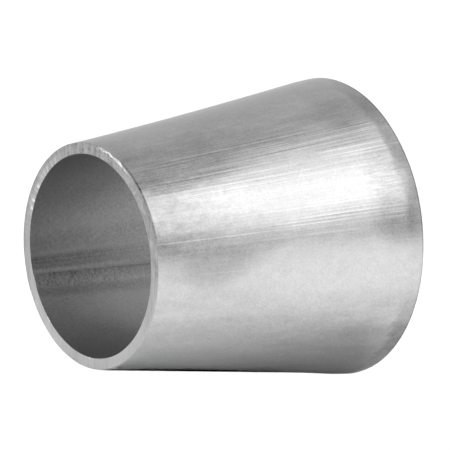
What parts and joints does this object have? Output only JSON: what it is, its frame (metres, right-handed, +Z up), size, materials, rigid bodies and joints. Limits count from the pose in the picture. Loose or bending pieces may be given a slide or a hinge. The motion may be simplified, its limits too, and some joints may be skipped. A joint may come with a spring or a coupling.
{
  "type": "concentric reducer",
  "caption": "Thin-wall stainless butt-weld concentric reducer that joins a large round tube to a smaller one on one axis, with a longitudinal seam weld.",
  "frame": {"origin": "centre of the large end face, on the flow axis", "axes": "+X along the flow axis from the small end to the large end, +Z up with the reducer in a horizontal run, +Y to the side on which the seam weld lies, 22 degrees below the horizontal"},
  "size_m": [0.0508, 0.0508, 0.0508],
  "materials": {
    "shell_steel": "satin, with fine draw lines along the axis, cloudy pickled patches and bright square saw-cut ends",
    "weld_metal": "as-welded, dull grey, finely rippled in the bore and planished flush outside"
  },
  "bodies": {
    "root": {"reducer_shell": "shell_steel", "seam_weld": "weld_metal"}
  },
  "joints": []
}
